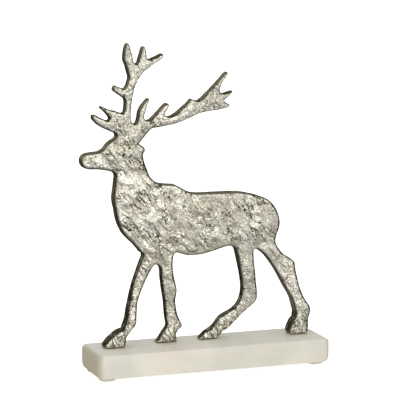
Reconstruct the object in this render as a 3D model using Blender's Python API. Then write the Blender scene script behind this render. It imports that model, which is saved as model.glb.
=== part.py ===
"""Reindeer figurine: a flat cast-metal reindeer, walking to the left, on a white marble block.

Metres, +Z up. The reindeer faces -X and its hammered front face looks to -Y. The origin is on
the surface that the pads stand on, under the middle of the whole piece.
"""
import math

import bpy
import numpy as np
from mathutils import Vector
from mathutils.geometry import delaunay_2d_cdt

for old in list(bpy.data.objects):
    bpy.data.objects.remove(old, do_unlink=True)

# Driving dimensions, in metres
FIGURE_HEIGHT = 0.3265         # soles of the hooves to the tip of the front antler
FIGURE_ALONG_BASE = 0.0        # the outline's own zero line, from the middle of the base
PLATE_THICKNESS = 0.0127       # the casting, half an inch
PLATE_SET_BACK = 0.0011        # front face of the casting behind the base's middle line
EDGE_DROP = 0.0030             # the front face's edge rounds over by this much
BODY_ROUNDING = 0.0030         # width of that round along the body and head
LIMB_ROUNDING = 0.0012         # and along the legs and antlers
FACE_CROWN = 0.0018            # how far the middle of a broad part stands proud of a thin one
CROWN_REACH = 0.0100           # distance from the edge over which the crown dies away
DENT_DEPTH = 0.0004            # broad dents of the hammered face, up and down from its mean
DENT_SPACING_ACROSS = 0.0226   # from dent to dent, across their lean and along it
DENT_SPACING_ALONG = 0.0390
DENT_LEAN = math.radians(37)   # dents run up to the left, this far from upright
DENT_WANDER = 1.0              # how far the rows of dents bend, in radians of their wave
LEG_ADVANCE = 0.0050           # near hooves forward of the plate's front face
LEG_RETREAT = 0.0040           # far hooves behind the plate's front face
BASE_LENGTH = 0.265
BASE_DEPTH = 0.068
BASE_HEIGHT = 0.0254
BASE_CORNER_RADIUS = 0.0065    # upright corners
BASE_EDGE_ROUNDING = 0.0015    # arrises along the front and back
END_TOP_ROUNDING = 0.0046      # arrises across the ends, at the top
END_FOOT_REACH = 0.0036        # and at the bottom, where they are taller: inwards
END_FOOT_RISE = 0.0095         # and upwards
PAD_DIAMETER = 0.0175
PAD_HEIGHT = 0.0031
PAD_EDGE_ROUNDING = 0.0008
PAD_END_INSET = 0.0045         # rim of a pad from the end of the base
PAD_SIDE_INSET = 0.0035        # and from its front or back
TOUCH_GAP = 0.0003             # between pieces that touch

# Fineness of the meshes, in metres and counts
OUTLINE_STEP = 0.0042
FACE_STEP = 0.0064
BACK_STEP = 0.0140
EDGE_ROWS = (0.3, 1.0)         # rows of points along the edge, inset by shares of BODY_ROUNDING
ROW_CLEARANCE = 0.9            # share of its inset that a row keeps to every edge
ROW_SPACING = 0.55             # share of OUTLINE_STEP between a row's points
GRID_MARGIN = 0.55             # share of its own step that a grid keeps to the rows
CORNER_SEGMENTS = 6
EASE_LEVELS = (0, 0.3, 1.0)    # levels of an arris, in shares of BASE_EDGE_ROUNDING
PAD_SIDES = 40
WELD = 1e-7                    # points closer than this are one

# The reindeer's outline, clockwise as seen from the front: (along, up) from the middle of the
# base and the soles of the hooves, in units of which the figure's height has OUTLINE_TOP. The
# curve is smooth through every point but those marked with CORNER.
CORNER = True
OUTLINE_TOP = 995.5
UNIT = FIGURE_HEIGHT / OUTLINE_TOP

JAW_AND_MUZZLE = (
    (-306, 566), (-307.5, 572), (-315, 578.5), (-328, 583.5), (-342, 586.5), (-358, 589.5),
    (-378, 591), (-400, 593), (-411, 597), (-419, 606), (-422.7, 618), (-420.5, 630),
    (-415, 637.5), (-404, 643), (-390, 645), (-368, 647), (-357, 649.5), (-347.5, 655),
    (-340, 663.5), (-334, 670.5), (-319, 682), (-308.5, 689), (-303.5, 694.5), (-303, 700),
    (-308, 706),
)
BROW_TINES = (
    (-320, 711.5), (-334, 718), (-346, 724), (-359, 732), (-369, 740), (-377, 749),
    (-382, 758), (-380, 766), (-374, 767.5), (-364, 763), (-354, 757.5), (-344, 752.5),
    (-334, 748.5), (-327, 748), (-323.5, 753.5), (-326.5, 760), (-335, 770.5), (-344, 780),
    (-353.5, 790), (-351, 795, CORNER), (-338, 788.5), (-326, 783), (-314, 779.5), (-303, 777),
    (-290, 772), (-281, 769.3), (-275.5, 772), (-272.5, 782),
)
FRONT_ANTLER = (
    (-271, 795), (-270.7, 806), (-273.5, 816), (-281, 822.5), (-292, 830), (-303, 838),
    (-310, 844.5), (-309, 854), (-304.5, 860, CORNER), (-294, 855.5), (-284, 851.5),
    (-275, 848.5), (-269.5, 852.5), (-264.5, 860), (-261.5, 870), (-258.2, 880), (-258, 889),
    (-261, 899), (-265, 914), (-268.3, 926), (-272.5, 936), (-274.8, 946), (-274, 957),
    (-272, 970), (-269, 983), (-266, 990.5), (-261.5, 995.5, CORNER), (-256, 986.5),
    (-253.5, 977), (-250.5, 966), (-247.5, 954.5), (-245, 943), (-242.5, 934), (-238, 929),
    (-232, 928.5), (-227, 932), (-224.5, 940), (-220.5, 952), (-216.3, 965), (-213, 976),
    (-210.5, 981.5), (-207, 983.5), (-203.5, 979), (-201, 970), (-199.7, 959), (-198, 948),
    (-194, 942.3), (-188, 940.7), (-182, 942.5), (-176, 945.5), (-169, 947.5), (-160, 951.5),
    (-151, 955.5), (-144.5, 958.5, CORNER), (-141.5, 952.5, CORNER), (-146, 944.5),
    (-156, 937), (-168, 929.5), (-180, 922.5), (-194.5, 912), (-208.5, 902), (-218.7, 890.3),
    (-227.6, 878.3), (-233.6, 866.4), (-239.5, 855), (-242.8, 841.6), (-246.4, 826.2),
    (-249.2, 810.8), (-251.6, 795), (-253.5, 778), (-253.7, 762), (-252.7, 748), (-250.3, 740),
    (-245.5, 735), (-239, 733),
)
REAR_ANTLER = (
    (-232.5, 737.5), (-229, 747.5), (-226.5, 760), (-224, 773), (-218, 785), (-210.5, 796),
    (-202, 805), (-195, 812), (-191, 814.5, CORNER), (-191.5, 806), (-197.5, 794.5),
    (-200.5, 784), (-203.8, 772), (-208, 760), (-208.5, 751.5), (-203, 745.5), (-195, 742.8),
    (-186.5, 744.8), (-176, 753), (-164, 764.5), (-152, 776.5), (-141, 787), (-133.5, 793.5),
    (-127.5, 796.5), (-123.5, 791.5), (-126.5, 782), (-132, 771.5), (-137.5, 762),
    (-134, 756), (-126, 753), (-116, 753), (-105.5, 757), (-91, 766.5), (-77, 777.5),
    (-63, 789), (-53, 798), (-44.5, 807.5, CORNER), (-36, 803), (-27, 800.5), (-18, 801.7),
    (-7, 809), (9, 823.8), (25, 838.5), (41, 854), (57, 870), (70.5, 884.5),
    (78.5, 892, CORNER), (80.5, 886), (74.5, 875.5), (66, 865), (60.5, 856.5), (55, 845),
    (52.5, 834.5), (55, 825), (63, 821.5), (73, 821.7), (84, 825.3), (97.5, 829, CORNER),
    (90.5, 818.5), (81, 809.5), (71, 801), (68, 797), (73.5, 791.8), (82, 787),
    (88.5, 782, CORNER), (81, 776.3), (71, 772.5), (58.5, 771), (45, 767.5), (25, 766.5),
    (4, 763.7), (-18, 759.5), (-38, 751.7), (-58, 743), (-78, 736), (-98, 729.5),
    (-116, 725.7), (-134, 723), (-152, 720.5), (-166, 718.5), (-178, 717.2),
)
NAPE_AND_BACK = (
    (-186.5, 712.5), (-195.3, 703.5), (-205.3, 692.5), (-214.3, 682), (-221.5, 673.5),
    (-225.5, 668, CORNER), (-219, 662.8), (-211.5, 658.5), (-206.3, 652), (-206, 644),
    (-210, 636.5), (-212.5, 631.5, CORNER), (-211, 620.5), (-207.7, 607.5), (-202.8, 593.5),
    (-197.3, 579.5), (-192.3, 566.5), (-186.5, 556.5), (-177.5, 546.8), (-167.5, 539.5),
    (-156, 534.8), (-142, 531.8), (-122, 529.5), (-102, 527), (-88, 520), (-74, 511.5),
    (-60, 503.7), (-46, 498.5), (-25, 495.3), (5, 494.7), (60, 494.3), (110, 493),
    (132, 490.5), (158, 485), (180, 479.5), (202, 471.7), (223.5, 461.5), (237, 450),
    (249, 435.3), (258.3, 417.5), (264.5, 399), (267, 380), (263.8, 361.5), (255.5, 340),
)
NEAR_HIND_LEG = (
    (252.3, 328), (252.3, 315), (257.8, 302), (268, 287), (283.5, 272), (299, 262),
    (312, 252.5), (320, 243.5), (322.3, 230), (324.3, 212), (328.2, 195.5), (332.3, 175.5),
    (337.3, 156.5), (343.3, 140), (351.2, 122.5), (361, 106), (369.3, 94), (372.5, 82),
    (370.3, 67.5), (366, 56), (364.5, 44), (364.5, 24), (362.5, 8), (360, 0, CORNER),
    (303, 0, CORNER), (298.5, 7), (298.5, 18), (302.5, 29), (308, 41), (314, 50),
    (320, 55.5), (321, 65), (322, 74), (318, 90), (313.5, 107), (309, 121), (302.5, 134.5),
    (288.5, 157.5), (274.5, 183), (259.5, 210.5), (245.5, 233), (230.5, 254), (215.5, 273),
    (203, 284),
)
FAR_HIND_LEG = (
    (192.5, 291.5), (183, 296.3), (176.8, 296.5), (174.2, 291), (174.2, 276), (175.2, 254),
    (178.6, 228.3), (181.1, 205.3), (183.5, 183.5), (187, 162.3), (188.6, 143.5), (187.5, 125),
    (180, 113.3), (166, 101), (147, 86.7), (127, 69), (107, 50.7), (91, 35.3), (81, 28),
    (70, 24), (63, 17), (55.5, 8), (48, 0, CORNER), (-15, 0, CORNER), (-11.5, 7), (-3, 15),
    (8, 25), (20, 32.3), (33, 40), (40.5, 47.5), (50, 60), (60, 71.5), (74, 80.2),
    (92, 88.7), (108, 98.2), (120.5, 109.7), (128.5, 124), (134, 142), (136.2, 162),
    (135.7, 178), (132.7, 198), (129.3, 218), (125.3, 236), (120.8, 256), (116.4, 275),
    (112.7, 290), (109.5, 300.5),
)
BELLY = (
    (102.5, 308), (92.5, 312), (78, 311.7), (60, 307), (38, 301), (16, 295.5), (-6, 291),
    (-28, 289.3), (-50, 289.3), (-69, 292.3), (-85, 297.8), (-96, 301),
)
FAR_FORELEG = (
    (-104, 298.5), (-108.8, 288), (-110.8, 270), (-110.8, 248), (-108.3, 229), (-103.8, 208.5),
    (-98.8, 190.5), (-96.2, 174), (-98.2, 157.5), (-100.2, 141), (-98.2, 122.5), (-95.2, 105),
    (-90.8, 89), (-84.8, 75), (-78.5, 62.5), (-76, 53), (-82, 43.5), (-90.5, 35.5),
    (-96, 26.5), (-96, 13), (-94, 0, CORNER), (-164, 0, CORNER), (-162, 6), (-155, 14),
    (-147, 25), (-138.5, 38), (-130, 49), (-127, 58), (-128.8, 72), (-131.8, 90),
    (-133.8, 112), (-136.3, 137), (-140.3, 160), (-144.8, 185), (-147.8, 207), (-150.2, 228),
    (-151, 245),
)
NEAR_FORELEG = (
    (-154, 255), (-162, 262.8), (-172, 265.7), (-179, 260), (-188.3, 246), (-199, 228.5),
    (-210, 208.5), (-220.7, 186), (-230.5, 164), (-236.8, 145), (-239.8, 121.5), (-241.8, 98),
    (-243.8, 76.5), (-250.8, 64.5), (-262, 52), (-273, 39), (-278, 30), (-279.5, 16),
    (-282, 0, CORNER), (-347, 0, CORNER), (-350, 6), (-346.5, 14), (-338, 25), (-328, 34.7),
    (-317, 43.7), (-304.5, 51.7), (-292.5, 56.5), (-284.5, 58.7), (-281.3, 68), (-276.5, 80),
    (-271.5, 98), (-268.5, 118), (-263.5, 141), (-258, 166), (-250.5, 195), (-242, 222),
    (-231, 252), (-220.5, 280), (-213.7, 298),
)
CHEST_AND_THROAT = (
    (-215, 305), (-223, 310), (-229, 318.5), (-243.5, 335.5), (-260.5, 352.5), (-280.5, 374.5),
    (-291.5, 394), (-299.8, 415), (-305.3, 437), (-308, 456), (-312, 472), (-314.3, 494),
    (-312.5, 511), (-309.5, 531), (-307.5, 550),
)
OUTLINE = (
    JAW_AND_MUZZLE + BROW_TINES + FRONT_ANTLER + REAR_ANTLER + NAPE_AND_BACK + NEAR_HIND_LEG
    + FAR_HIND_LEG + BELLY + FAR_FORELEG + NEAR_FORELEG + CHEST_AND_THROAT
)

# The edge's rounding changes from that of the limbs to that of the body between these heights,
# and back again between these, in the outline's units.
BODY_START = (200, 300)
BODY_END = (690, 750)

# Below LEG_TOP the legs step out of the plate, fully so at LEG_ANKLE, in the outline's units.
# The lines that part one leg from the next run through the gaps between them.
LEG_TOP = 255
LEG_ANKLE = 60
LEG_PARTINGS = (-170, -50, 208)
NEAR_LEGS = (1, 0, 0, 1)       # the first and the last leg, from the left
FAR_LEGS = (0, 1, 1, 0)
BACK_RETREAT_SHARE = 0.75      # far hooves' backs move this much of their fronts' shift


def smooth_outline(step):
    """Closed curve through OUTLINE in metres: Catmull-Rom spans whose tangents vanish at corners."""
    knots = np.array([(p[0], p[1]) for p in OUTLINE]) * UNIT
    corner = np.array([len(p) > 2 for p in OUTLINE])
    before = np.roll(knots, 1, axis=0)
    after = np.roll(knots, -1, axis=0)
    reach_in = np.linalg.norm(knots - before, axis=1)[:, None]
    reach_out = np.linalg.norm(after - knots, axis=1)[:, None]
    slope = ((knots - before) / reach_in * reach_out + (after - knots) / reach_out * reach_in)
    slope = slope / (reach_in + reach_out)
    slope[corner] = 0
    curve = []
    for i in range(len(knots)):
        j = (i + 1) % len(knots)
        length = reach_out[i, 0]
        pieces = max(1, math.ceil(length / step))
        t = (np.arange(pieces) / pieces)[:, None]
        start = (2 * t ** 3 - 3 * t ** 2 + 1) * knots[i]
        end = (3 * t ** 2 - 2 * t ** 3) * knots[j]
        leave = (t ** 3 - 2 * t ** 2 + t) * slope[i] * length
        arrive = (t ** 3 - t ** 2) * slope[j] * length
        curve.append(start + end + leave + arrive)
    curve = np.concatenate(curve)
    curve[:, 0] += FIGURE_ALONG_BASE
    return curve


def edge_distance(points, curve):
    """Distance of each point from the closed curve."""
    start = curve
    along = np.roll(curve, -1, axis=0) - start
    best = np.full(len(points), np.inf)
    for a, d in zip(start, along):
        t = np.clip(((points - a) @ d) / (d @ d), 0, 1)
        gap = np.linalg.norm(points - a - t[:, None] * d, axis=1)
        best = np.minimum(best, gap)
    return best


def is_inside(points, curve):
    """Even-odd rule for each point against the closed curve."""
    inside = np.zeros(len(points), dtype=bool)
    for a, b in zip(curve, np.roll(curve, -1, axis=0)):
        if a[1] == b[1]:
            continue
        crosses = (a[1] > points[:, 1]) != (b[1] > points[:, 1])
        reach = a[0] + (points[:, 1] - a[1]) / (b[1] - a[1]) * (b[0] - a[0])
        inside ^= crosses & (points[:, 0] < reach)
    return inside


def inward_normals(curve):
    """Unit normals that point into the metal, for a curve that runs clockwise."""
    tangent = np.roll(curve, -1, axis=0) - np.roll(curve, 1, axis=0)
    tangent /= np.linalg.norm(tangent, axis=1)[:, None]
    return np.stack([tangent[:, 1], -tangent[:, 0]], axis=1)


def spread_apart(points, gap):
    """Points of a list that keep at least the gap to those taken before them."""
    kept = []
    for p in points:
        if not kept or np.min(np.linalg.norm(np.array(kept) - p, axis=1)) >= gap:
            kept.append(p)
    return np.array(kept)


def hex_grid(curve, step, margin):
    """Staggered grid inside the curve that keeps the margin to it."""
    low = curve.min(axis=0)
    high = curve.max(axis=0)
    rows = np.arange(low[1], high[1], step * math.sqrt(3) / 2)
    columns = np.arange(low[0], high[0], step)
    x, z = np.meshgrid(columns, rows)
    x = x + (np.arange(len(rows)) % 2)[:, None] * step / 2
    grid = np.stack([x.ravel(), z.ravel()], axis=1)
    grid = grid[is_inside(grid, curve)]
    return grid[edge_distance(grid, curve) >= margin]


def fill_outline(curve, inner):
    """Triangles of the outline's face through the inner points; the curve's points come first."""
    points = np.concatenate([curve, inner])
    loop = list(range(len(curve)))
    result = delaunay_2d_cdt([Vector(p) for p in points.tolist()], [], [loop], 1, WELD)
    origin = [ids[0] for ids in result[3]]
    faces = [tuple(origin[i] for i in face) for face in result[2]]
    return points, faces


def smooth_step(value, low, high):
    """0 at low, 1 at high, and smooth between them."""
    t = np.clip((value - low) / (high - low), 0, 1)
    return t * t * (3 - 2 * t)


def leg_share(x, z):
    """Which leg a point belongs to, and how far down from the plate to the ankle it is, 0 to 1."""
    leg = np.searchsorted(np.array(LEG_PARTINGS) * UNIT + FIGURE_ALONG_BASE, x)
    return leg, smooth_step(z / UNIT, LEG_TOP, LEG_ANKLE)


def front_shift(x, z):
    """Near legs come forward and far legs go back."""
    leg, down = leg_share(x, z)
    return down * (LEG_RETREAT * np.array(FAR_LEGS)[leg] - LEG_ADVANCE * np.array(NEAR_LEGS)[leg])


def back_shift(x, z):
    """The far legs' backs follow their fronts, and the near hooves are thicker instead."""
    leg, down = leg_share(x, z)
    return down * LEG_RETREAT * BACK_RETREAT_SHARE * np.array(FAR_LEGS)[leg]


def cast_dents(x, z):
    """Product of a wave across the dents' lean and one along it, each bent by the other."""
    across = (x * math.cos(DENT_LEAN) + z * math.sin(DENT_LEAN)) * 2 * math.pi / DENT_SPACING_ACROSS
    along = (z * math.cos(DENT_LEAN) - x * math.sin(DENT_LEAN)) * 2 * math.pi / DENT_SPACING_ALONG
    bent_across = across + DENT_WANDER * np.sin(along)
    bent_along = along - DENT_WANDER * np.sin(across)
    return DENT_DEPTH * np.sin(bent_across) * np.cos(bent_along)


def front_depth(x, z, distance):
    """Y of the front face: rounded at the edge, crowned inwards, dented, stepped at the legs."""
    body_share = smooth_step(z / UNIT, *BODY_START) - smooth_step(z / UNIT, *BODY_END)
    width = LIMB_ROUNDING + (BODY_ROUNDING - LIMB_ROUNDING) * body_share
    to_flat = np.clip(1 - distance / width, 0, 1)
    rounding = EDGE_DROP * (1 - np.sqrt(1 - to_flat ** 2))
    crown = FACE_CROWN * np.exp(-distance / CROWN_REACH)
    dents = cast_dents(x, z) * np.clip(distance / BODY_ROUNDING, 0, 1)
    return PLATE_SET_BACK + rounding + crown + dents + front_shift(x, z)


def plain_finish(name, colour, roughness, metallic):
    """Principled material of one colour."""
    material = bpy.data.materials.new(name)
    material.use_nodes = True
    shader = material.node_tree.nodes["Principled BSDF"]
    shader.inputs["Base Color"].default_value = (*colour, 1)
    shader.inputs["Roughness"].default_value = roughness
    shader.inputs["Metallic"].default_value = metallic
    return material


def new_piece(name, vertices, faces, material):
    """Object of one closed mesh."""
    mesh = bpy.data.meshes.new(name)
    mesh.from_pydata(vertices, [], faces)
    mesh.validate()
    mesh.materials.append(material)
    piece = bpy.data.objects.new(name, mesh)
    bpy.context.scene.collection.objects.link(piece)
    return piece


def reindeer(material):
    """The casting: front face, straight rim and flat back on one outline."""
    curve = smooth_outline(OUTLINE_STEP)
    inward = inward_normals(curve)
    rows = []
    for share in EDGE_ROWS:
        offset = BODY_ROUNDING * share
        row = curve + inward * offset
        row = row[is_inside(row, curve)]
        row = row[edge_distance(row, curve) >= offset * ROW_CLEARANCE]
        rows.append(spread_apart(row, OUTLINE_STEP * ROW_SPACING))
    rows.append(hex_grid(curve, FACE_STEP, BODY_ROUNDING + FACE_STEP * GRID_MARGIN))
    front, front_faces = fill_outline(curve, np.concatenate(rows))
    back, back_faces = fill_outline(curve, hex_grid(curve, BACK_STEP, BACK_STEP * GRID_MARGIN))

    front_y = front_depth(front[:, 0], front[:, 1], edge_distance(front, curve))
    back_y = PLATE_SET_BACK + PLATE_THICKNESS + back_shift(back[:, 0], back[:, 1])
    vertices = [(x, y, z) for (x, z), y in zip(front.tolist(), front_y.tolist())]
    vertices += [(x, y, z) for (x, z), y in zip(back.tolist(), back_y.tolist())]

    first_back = len(front)
    count = len(curve)
    faces = list(front_faces)
    faces += [tuple(first_back + i for i in reversed(face)) for face in back_faces]
    for i in range(count):
        j = (i + 1) % count
        faces.append((i, j, first_back + j, first_back + i))
    return new_piece("reindeer", vertices, faces, material)


def rounded_ring(half_x, half_y, radius):
    """Rectangle with round corners."""
    ring = []
    for corner, (sx, sy) in enumerate(((1, 1), (-1, 1), (-1, -1), (1, -1))):
        for k in range(CORNER_SEGMENTS + 1):
            angle = math.pi / 2 * (corner + k / CORNER_SEGMENTS)
            x = sx * (half_x - radius) + radius * math.cos(angle)
            y = sy * (half_y - radius) + radius * math.sin(angle)
            ring.append((x, y))
    return ring


def arris_inset(rise, reach, height):
    """How far in a quarter-ellipse arris lies at a rise above the face that it starts from."""
    t = max(0, 1 - rise / height)
    return reach * (1 - math.sqrt(1 - t * t))


def stack_rings(rings, heights):
    """Vertices and faces of a closed stack of like rings."""
    vertices = []
    for ring, height in zip(rings, heights):
        vertices += [(x, y, height) for x, y in ring]
    count = len(rings[0])
    faces = [tuple(reversed(range(count)))]
    for level in range(len(rings) - 1):
        low = level * count
        for i in range(count):
            j = (i + 1) % count
            faces.append((low + i, low + j, low + count + j, low + count + i))
    faces.append(tuple(range((len(rings) - 1) * count, len(rings) * count)))
    return vertices, faces


def marble_base(material):
    """Block with round upright corners, eased arrises and fuller rounds along its ends."""
    rises = [BASE_EDGE_ROUNDING * share for share in EASE_LEVELS]
    heights = rises + [END_FOOT_RISE / 2, END_FOOT_RISE, BASE_HEIGHT - END_TOP_ROUNDING]
    heights += [BASE_HEIGHT - rise for rise in reversed(rises)]
    rings = []
    for z in heights:
        from_top = BASE_HEIGHT - z
        side = arris_inset(min(z, from_top), BASE_EDGE_ROUNDING, BASE_EDGE_ROUNDING)
        foot = arris_inset(z, END_FOOT_REACH, END_FOOT_RISE)
        end = max(foot, arris_inset(from_top, END_TOP_ROUNDING, END_TOP_ROUNDING))
        rings.append(rounded_ring(BASE_LENGTH / 2 - end, BASE_DEPTH / 2 - side,
                                  BASE_CORNER_RADIUS - side))
    vertices, faces = stack_rings(rings, heights)
    return new_piece("marble_base", vertices, faces, material)


def pad(name, material):
    """Round self-adhesive pad with an eased lower edge."""
    radii = (PAD_DIAMETER / 2 - PAD_EDGE_ROUNDING, PAD_DIAMETER / 2, PAD_DIAMETER / 2)
    heights = (0, PAD_EDGE_ROUNDING, PAD_HEIGHT - TOUCH_GAP)
    angles = [2 * math.pi * k / PAD_SIDES for k in range(PAD_SIDES)]
    rings = [[(r * math.cos(a), r * math.sin(a)) for a in angles] for r in radii]
    vertices, faces = stack_rings(rings, heights)
    return new_piece(name, vertices, faces, material)


cast_metal = plain_finish("cast_metal", (0.60, 0.58, 0.52), 0.38, 1.0)
white_marble = plain_finish("white_marble", (0.80, 0.79, 0.74), 0.25, 0.0)
pad_rubber = plain_finish("pad_rubber", (0.78, 0.76, 0.68), 0.60, 0.0)

# The muzzle overhangs the base, so the base sits off the middle of the whole piece
muzzle_x = smooth_outline(OUTLINE_STEP)[:, 0].min()
left_end = min(muzzle_x, -BASE_LENGTH / 2)
base_x = -(left_end + BASE_LENGTH / 2) / 2

base = marble_base(white_marble)
base.location = (base_x, 0, PAD_HEIGHT)

figure = reindeer(cast_metal)
figure.location = (base_x, 0, PAD_HEIGHT + BASE_HEIGHT + TOUCH_GAP)

pad_x = BASE_LENGTH / 2 - PAD_END_INSET - PAD_DIAMETER / 2
pad_y = BASE_DEPTH / 2 - PAD_SIDE_INSET - PAD_DIAMETER / 2
for row_name, sy in (("front", -1), ("back", 1)):
    for side_name, sx in (("left", -1), ("right", 1)):
        foot = pad(f"pad_{row_name}_{side_name}", pad_rubber)
        foot.location = (base_x + sx * pad_x, sy * pad_y, 0)
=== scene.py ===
"""Reindeer figurine: a flat cast-metal reindeer on a white marble block, dressed for the camera.

Metres, +Z up. The reindeer walks towards -X and its hammered face looks to -Y.
"""
import math

import bpy
import numpy as np
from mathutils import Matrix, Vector
from mathutils.geometry import delaunay_2d_cdt


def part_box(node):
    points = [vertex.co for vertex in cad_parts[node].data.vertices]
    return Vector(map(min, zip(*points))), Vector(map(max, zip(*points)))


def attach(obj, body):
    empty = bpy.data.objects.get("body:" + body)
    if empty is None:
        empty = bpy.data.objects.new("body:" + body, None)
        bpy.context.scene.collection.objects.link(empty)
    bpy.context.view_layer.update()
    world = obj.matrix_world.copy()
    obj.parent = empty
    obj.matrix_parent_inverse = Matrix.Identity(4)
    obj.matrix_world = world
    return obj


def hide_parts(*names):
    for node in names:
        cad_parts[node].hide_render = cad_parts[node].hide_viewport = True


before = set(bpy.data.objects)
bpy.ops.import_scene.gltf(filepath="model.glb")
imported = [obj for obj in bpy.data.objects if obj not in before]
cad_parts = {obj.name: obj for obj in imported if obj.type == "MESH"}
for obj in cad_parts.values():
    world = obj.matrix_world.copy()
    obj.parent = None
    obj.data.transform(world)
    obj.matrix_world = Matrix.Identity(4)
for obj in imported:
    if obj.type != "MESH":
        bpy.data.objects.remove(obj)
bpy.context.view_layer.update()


# Marble block.
# A bar sawn from white marble slab and honed, with its corners and arrises eased by hand. It
# carries the casting and stands on four pads.
BLOCK_CORNER = 0.0065          # radius of the upright corners
BLOCK_EASE = 0.0015            # round on the long arrises
BLOCK_END_TOP = 0.0046         # fuller round over the ends
BLOCK_FOOT_REACH = 0.0036      # and under them, this far in
BLOCK_FOOT_RISE = 0.0095       # and this far up
BLOCK_WANDER = 0.00025         # unevenness of the hand-eased faces
BLOCK_SHARP = math.radians(40)
BLOCK_MIDDLE = (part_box("marble_base")[0][0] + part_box("marble_base")[1][0]) / 2
BLOCK_END = (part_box("marble_base")[1][0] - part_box("marble_base")[0][0]) / 2
BLOCK_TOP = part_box("marble_base")[1][2]
STAIN_PLACE = BLOCK_MIDDLE - 0.045      # a pinkish place near the second hoof
STAIN_REACH = 0.045
TOP_LIGHT_FROM = (0.0009, 0.0002)        # painted light: the top is painted brighter from these depths below it
END_SHADE_FROM = (0.007, 0.001)              # painted shade: the ends are painted duller from these distances in from them
CORNER_STEPS = 14
EASE_STEPS = 9
MIDDLE_ROWS = 4
SIDE_STEP = 0.003              # grid on the sides and the top
MARBLE_PALE = (0.602, 0.584, 0.512)
MARBLE_GREY = (0.522, 0.507, 0.440)
MARBLE_WARM = (0.60, 0.53, 0.43)
MARBLE_VEIN = (0.47, 0.46, 0.41)
MARBLE_TOP_LIGHT = (0.70, 0.68, 0.60)         # painted light: a little brighter on the top
MARBLE_STAIN = (0.66, 0.50, 0.44)
MARBLE_END_SHADE = (0.41, 0.365, 0.27)       # painted shade on the ends


def scatter(a, b, seed):
    """Random number from 0 to 1 for each whole-number pair: the fraction of a large sine."""
    wave = np.sin(a * 127.1 + b * 311.7 + seed * 74.7) * 43758.5453
    return wave - np.floor(wave)


def soft_noise(u, v, seed):
    """Gradient noise, about -0.7 to 0.7: each whole-number corner has a slope in a random
    direction, and the four slopes round a point are blended by 6t^5 - 15t^4 + 10t^3."""
    cell_u = np.floor(u)
    cell_v = np.floor(v)
    fu = u - cell_u
    fv = v - cell_v

    def slope(i, j):
        angle = scatter(cell_u + i, cell_v + j, seed) * 2 * np.pi
        return np.cos(angle) * (fu - i) + np.sin(angle) * (fv - j)

    su = fu ** 3 * (fu * (fu * 6 - 15) + 10)
    sv = fv ** 3 * (fv * (fv * 6 - 15) + 10)
    low = slope(0, 0) * (1 - su) + slope(1, 0) * su
    high = slope(0, 1) * (1 - su) + slope(1, 1) * su
    return low * (1 - sv) + high * sv


def rough_noise(u, v, seed, octaves):
    """Sum of soft_noise at doubled frequencies and halved strengths."""
    return sum(soft_noise(u * 2 ** k, v * 2 ** k, seed + k) / 2 ** k for k in range(octaves))


def build_mesh(name, points, faces, material, sharp=None, marks=None):
    """Mesh object at the origin from points (n, 3) and a list of faces, smooth but where two
    faces meet at more than the sharp angle; marks are named values, one a point."""
    mesh = bpy.data.meshes.new(name)
    mesh.from_pydata(points, [], faces)
    mesh.polygons.foreach_set("use_smooth", np.ones(len(mesh.polygons), dtype=bool))
    if sharp is not None:
        mesh.set_sharp_from_angle(angle=sharp)
    for mark, values in (marks or {}).items():
        mesh.attributes.new(mark, "FLOAT", "POINT").data.foreach_set("value", values)
    mesh.materials.append(material)
    mesh.update()
    piece = bpy.data.objects.new(name, mesh)
    bpy.context.scene.collection.objects.link(piece)
    return piece


class Value:
    """A shader socket. The operators on it add Math nodes to its node tree."""

    def __init__(self, nodes, socket):
        self.nodes = nodes
        self.socket = socket

    def math(self, operation, *others):
        values = dict(enumerate((self, *others)))
        return self.nodes.add("ShaderNodeMath", {"operation": operation}, values)

    def __add__(self, other):
        return self.math("ADD", other)

    def __radd__(self, other):
        return self.math("ADD", other)

    def __mul__(self, other):
        return self.math("MULTIPLY", other)

    def __rmul__(self, other):
        return self.math("MULTIPLY", other)

    def __sub__(self, other):
        return self.math("SUBTRACT", other)

    def __rsub__(self, other):
        return -self + other

    def __neg__(self):
        return self * -1

    def between(self, low, high):
        """0 below low, 1 above high, and smooth between them."""
        settings = {"interpolation_type": "SMOOTHSTEP"}
        values = {"Value": self, "From Min": low, "From Max": high}
        return self.nodes.add("ShaderNodeMapRange", settings, values)

    def off(self, middle):
        """How far the value is from the middle, either way."""
        return (self - middle).math("ABSOLUTE")


class Nodes:
    """A node tree in the making, and the coordinates that it reads."""

    def __init__(self, tree, shader, coordinates):
        self.tree = tree
        self.shader = tree.nodes[shader]
        self.place = self.add("ShaderNodeTexCoord", {}, {}, coordinates)

    def add(self, kind, settings, values, output=0):
        """A node of that kind: its settings first, then its sockets' values or links."""
        node = self.tree.nodes.new(kind)
        for key, value in settings.items():
            setattr(node, key, value)
        for key, value in values.items():
            self.give(node.inputs[key], value)
        return Value(self, node.outputs[output])

    def axis(self, number):
        """One of the coordinates: 0 for x, 1 for y, 2 for z."""
        return self.add("ShaderNodeSeparateXYZ", {}, {"Vector": self.place}, number)

    def give(self, socket, value):
        """Links a value to the socket, or sets a constant on it."""
        if isinstance(value, Value):
            self.tree.links.new(value.socket, socket)
        elif isinstance(value, tuple) and len(value) == 3 and socket.type == "RGBA":
            socket.default_value = (*value, 1)
        else:
            socket.default_value = value

    def set(self, name, value):
        """Gives the value to the shader's socket of that name."""
        self.give(self.shader.inputs[name], value)


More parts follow.
